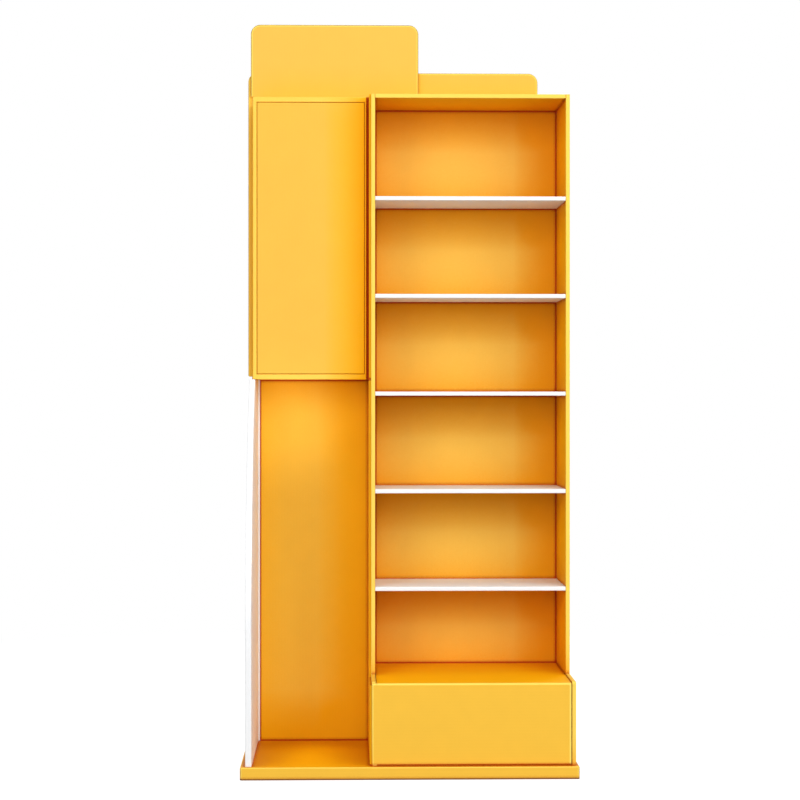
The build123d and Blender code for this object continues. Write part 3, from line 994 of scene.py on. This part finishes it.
class DressLeftBay(bpy.types.Operator):
    """White side panel and printed back of the left bay"""

    bl_idname = "rack.dress_left_bay"
    bl_label = "Left bay"

    def execute(self, context):
        board = context.scene.rack_board
        dress(white_coated_board("side_panel_white_board", flutes_along="Z"), "left_side_panel")
        # Painted shade on the bay's back, leaning toward the lower right where the tower and side panel
        # shade it, and on the cheek's edge in the gap; the joints are lines of painted shade, and a little
        # paleness lightens the back as painted light
        toward_lower_right = (0.8, 0, -0.7)
        cheek_edge = [("Y", -1, 0.0)]
        back = printed_board(
            "bay_back_printed_board",
            nook_colour=board.shaded_amber,
            nook_width=130 * MILLIMETRE,
            nook_strength=1.15,
            nook_side=toward_lower_right,
            paleness=0.2,
            joints=[
                ("X", PANEL_RIGHT, board.strip_width + JOINT_LINE),
                ("Z", BASE_TOP, JOINT_LINE),
                ("Z", SIGN_BOTTOM, JOINT_LINE),
            ],
            deep=cheek_edge,
            seam_free=cheek_edge,
            bare=[("Y", 1, BAY_HIGH.y - SKIN)],
            cut=[("Z", 1, TOWER_TOP - SKIN), ("X", -1, BAY_LOW.x + SKIN)],
            cut_start=SHEET_LOW.y,
        )
        dress(back, "bay_back")
        return {"FINISHED"}


class FoldCornerStrip(bpy.types.Operator):
    """White card angle glued into the corner between the side panel and the bay's back"""

    bl_idname = "rack.fold_corner_strip"
    bl_label = "Corner strip"

    def execute(self, context):
        board = context.scene.rack_board
        card, width, depth = board.strip_thickness, board.strip_width, board.strip_depth
        corner = Vector((PANEL_RIGHT, SHEET_LOW.y, BASE_TOP + STRIP_CLEARANCE))
        height = SIGN_BOTTOM - STRIP_CLEARANCE - corner.z
        shape = bmesh.new()

        # The angle's section, pulled up to the sign box
        section = ((0, 0), (0, -depth), (card, -depth), (card, -card), (width, -card), (width, 0))
        points = [shape.verts.new(corner + Vector((x, y, 0))) for x, y in section]
        profile = shape.faces.new(points)
        pulled = bmesh.ops.extrude_face_region(shape, geom=[profile])["geom"]
        raised = [item for item in pulled if isinstance(item, bmesh.types.BMVert)]
        bmesh.ops.translate(shape, verts=raised, vec=(0, 0, height))
        bmesh.ops.recalc_face_normals(shape, faces=shape.faces)

        # The upright edges are rounded, as folded and cut card is
        upright = [edge for edge in shape.edges if abs(edge.verts[0].co.z - edge.verts[1].co.z) > SKIN]
        bmesh.ops.bevel(
            shape,
            geom=upright,
            offset=card * STRIP_ROUNDING_SHARE,
            offset_type="OFFSET",
            affect="EDGES",
            segments=2,
            profile=0.5,
            material=-1,
        )
        mesh = bpy.data.meshes.new("corner_strip")
        shape.to_mesh(mesh)
        shape.free()
        mesh.materials.append(white_coated_board("corner_strip_white_card", "Z", seam_strength=0.0))
        strip = new_object("corner_strip", mesh)
        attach(strip, "root")
        return {"FINISHED"}


class DressSignBox(bpy.types.Operator):
    """Printed sleeve, front and spacer of the sign box"""

    bl_idname = "rack.dress_sign_box"
    bl_label = "Sign box"

    def execute(self, context):
        board = context.scene.rack_board
        # Painted shade leaning toward the tower, whose wall shades the sign box's right side, and a painted
        # highlight along the sleeve's folded front edges
        toward_tower = (0.9, 0, 0)
        for piece, folded in (("sleeve", [FRONT_FOLD]), ("front", [])):
            card = printed_board(
                f"sign_{piece}_printed_board",
                ink_colour=board.warm_yellow,
                nook_colour=board.deep_shade_amber,
                nook_side=toward_tower,
                folded=folded,
            )
            dress(card, f"sign_box_{piece}")
        # The spacer deep in the gap beside the sign box carries the painted red-brown shade of that gap
        dress(printed_board("sign_spacer_painted_gap_shade", ink_colour=board.gap_shade_red), "sign_box_spacer")
        return {"FINISHED"}


class DressHeaders(bpy.types.Operator):
    """Two printed header cards"""

    bl_idname = "rack.dress_headers"
    bl_label = "Header cards"

    def execute(self, context):
        board = context.scene.rack_board
        for node, wear in (("rear_header", 0.35), ("front_header", 0.6)):
            # Painted shade in the cards' nooks beside the sign box and the tower, and a painted highlight
            # along each rim; the dark edge of the rim is wear
            low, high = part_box(node)
            card = printed_board(
                f"{node}_printed_board",
                ink_colour=board.warm_yellow,
                nook_colour=board.deep_shade_amber,
                nook_strength=0.6,
                seam_strength=0.0,
                rim=(low - Vector((0, 0, CARD_CORNER)), high, CARD_CORNER),
                wear=wear,
                bare=[("Y", 1, high.y - SKIN)],
                cut=[("Z", 1, low.z), ("X", 1, low.x), ("X", -1, high.x)],
                cut_start=low.y,
            )
            dress(card, node)
        return {"FINISHED"}


class BuildStage(bpy.types.Operator):
    """Floor, lamps, world and camera"""

    bl_idname = "rack.build_stage"
    bl_label = "Stage"

    def execute(self, context):
        stage = context.scene.rack_stage
        build_floor(stage)
        build_world(stage)
        build_lamps(stage)
        build_camera(stage)
        context.scene.view_settings.view_transform = "Standard"
        return {"FINISHED"}


def seen_ray(tree):
    """1 for a ray that shows the stage itself: from the camera, a reflection or through something clear."""
    rays = add(tree, "ShaderNodeLightPath").node.outputs
    other_rays = {0: rays["Is Glossy Ray"], 1: rays["Is Transmission Ray"]}
    reflected = add(tree, "ShaderNodeMath", other_rays, operation="MAXIMUM")
    return add(tree, "ShaderNodeMath", {0: rays["Is Camera Ray"], 1: reflected}, operation="MAXIMUM")


def build_floor(stage):
    """A wide pale floor that keeps the rack's shadow and fades into the white room."""
    mesh = bpy.data.meshes.new("studio_floor")
    shape = bmesh.new()
    bmesh.ops.create_grid(shape, x_segments=1, y_segments=1, size=FLOOR_HALF_WIDTH)
    shape.to_mesh(mesh)
    shape.free()
    floor = new_object("studio_floor", mesh)

    # Matt floor paint, lifted to the room's white where nothing shades it
    material, tree = new_material("matt_floor_paint")
    seen = seen_ray(tree)
    ground = add(tree, "ShaderNodeTexCoord", output="Object")
    distance = add(tree, "ShaderNodeVectorMath", {0: ground}, "Value", operation="LENGTH")
    fade = {"Value": distance, "From Min": FADE_START, "From Max": FADE_END}
    far = add(tree, "ShaderNodeMapRange", fade)
    paint = add(tree, "ShaderNodeBsdfDiffuse", {"Color": stage.floor_colour})
    lift_strength = add(tree, "ShaderNodeMath", {0: seen, 1: FLOOR_LIFT}, operation="MULTIPLY")
    lift = add(tree, "ShaderNodeEmission", {"Color": WHITE, "Strength": lift_strength})
    near_floor = add(tree, "ShaderNodeAddShader", {0: paint, 1: lift})
    white = add(tree, "ShaderNodeEmission", {"Color": WHITE, "Strength": 1.0})
    far_seen = add(tree, "ShaderNodeMath", {0: far, 1: seen}, operation="MULTIPLY")
    surface = add(tree, "ShaderNodeMixShader", {0: far_seen, 1: near_floor, 2: white})
    add(tree, "ShaderNodeOutputMaterial", {"Surface": surface})
    mesh.materials.append(material)


def build_world(stage):
    """Even room light, seen as plain white."""
    world = bpy.data.worlds.new("white_room")
    bpy.context.scene.world = world
    world.use_nodes = True
    tree = world.node_tree
    tree.nodes.clear()
    either_light = {0: seen_ray(tree), 2: stage.room_light, 3: 1.0}
    strength = add(tree, "ShaderNodeMix", either_light, data_type="FLOAT")
    room = add(tree, "ShaderNodeBackground", {"Color": WHITE, "Strength": strength})
    add(tree, "ShaderNodeOutputWorld", {"Surface": room})


def build_lamp(name, place, width, power, aim=RACK_MIDDLE, spread=math.pi):
    """A square soft lamp, aimed at a point of the rack."""
    lamp = bpy.data.lights.new(name, "AREA")
    lamp.shape = "SQUARE"
    lamp.size = width
    lamp.energy = power
    lamp.spread = spread
    holder = new_object(name, lamp)
    holder.location = place
    holder.rotation_euler = (aim - holder.location).to_track_quat("-Z", "Y").to_euler()
    holder.visible_camera = False


def build_lamps(stage):
    """Soft lamps in front, on each side, overhead and behind, and a gridded one for the bay."""
    build_lamp("key_lamp", stage.key_place, stage.key_width, stage.key_power)
    build_lamp("right_lamp", stage.right_place, stage.side_width, stage.right_power)
    build_lamp("left_lamp", stage.left_place, stage.side_width, stage.left_power)
    build_lamp("top_lamp", stage.top_place, stage.top_width, stage.top_power)
    build_lamp("front_lamp", stage.front_place, stage.front_width, stage.front_power)
    build_lamp("rear_right_lamp", stage.rear_place, stage.rear_width, stage.rear_power)
    rear_left_place = Vector((-1, 1, 1)) * Vector(stage.rear_place)
    build_lamp("rear_left_lamp", rear_left_place, stage.rear_width, stage.rear_power)
    build_lamp("bay_lamp", stage.bay_place, stage.bay_width, stage.bay_power, BAY_AIM, stage.bay_spread)


def build_camera(stage):
    """The camera, level with the middle of the rack."""
    lens = bpy.data.cameras.new("camera")
    lens.lens = stage.camera_lens
    lens.sensor_width = SENSOR_WIDTH
    camera = new_object("camera", lens)
    camera.location = stage.camera_place
    camera.rotation_euler = (math.pi / 2 - stage.camera_pitch, 0.0, -stage.camera_yaw)
    bpy.context.scene.camera = camera


class RackPanel(bpy.types.Panel):
    """Lists the rack's pieces and settings"""

    bl_idname = "VIEW3D_PT_display_rack"
    bl_label = "Display rack"
    bl_space_type = "VIEW_3D"
    bl_region_type = "UI"
    bl_category = "Display rack"

    def draw(self, context):
        for operator in OPERATORS:
            self.layout.operator(operator.bl_idname)
        for settings in (context.scene.rack_board, context.scene.rack_stage):
            box = self.layout.box()
            for name in settings.__annotations__:
                box.prop(settings, name)


OPERATORS = (
    DressBase,
    DressTower,
    DressShelves,
    DressLeftBay,
    FoldCornerStrip,
    DressSignBox,
    DressHeaders,
    BuildStage,
)
CLASSES = (BoardProperties, StageProperties, *OPERATORS, RackPanel)


def register():
    for cls in CLASSES:
        bpy.utils.register_class(cls)
    bpy.types.Scene.rack_board = PointerProperty(type=BoardProperties)
    bpy.types.Scene.rack_stage = PointerProperty(type=StageProperties)


def unregister():
    del bpy.types.Scene.rack_stage
    del bpy.types.Scene.rack_board
    for cls in reversed(CLASSES):
        bpy.utils.unregister_class(cls)


def main():
    register()
    bpy.ops.rack.dress_base()
    bpy.ops.rack.dress_tower()
    bpy.ops.rack.dress_shelves()
    bpy.ops.rack.dress_left_bay()
    bpy.ops.rack.fold_corner_strip()
    bpy.ops.rack.dress_sign_box()
    bpy.ops.rack.dress_headers()
    bpy.ops.rack.build_stage()


if __name__ == "__main__":
    main()
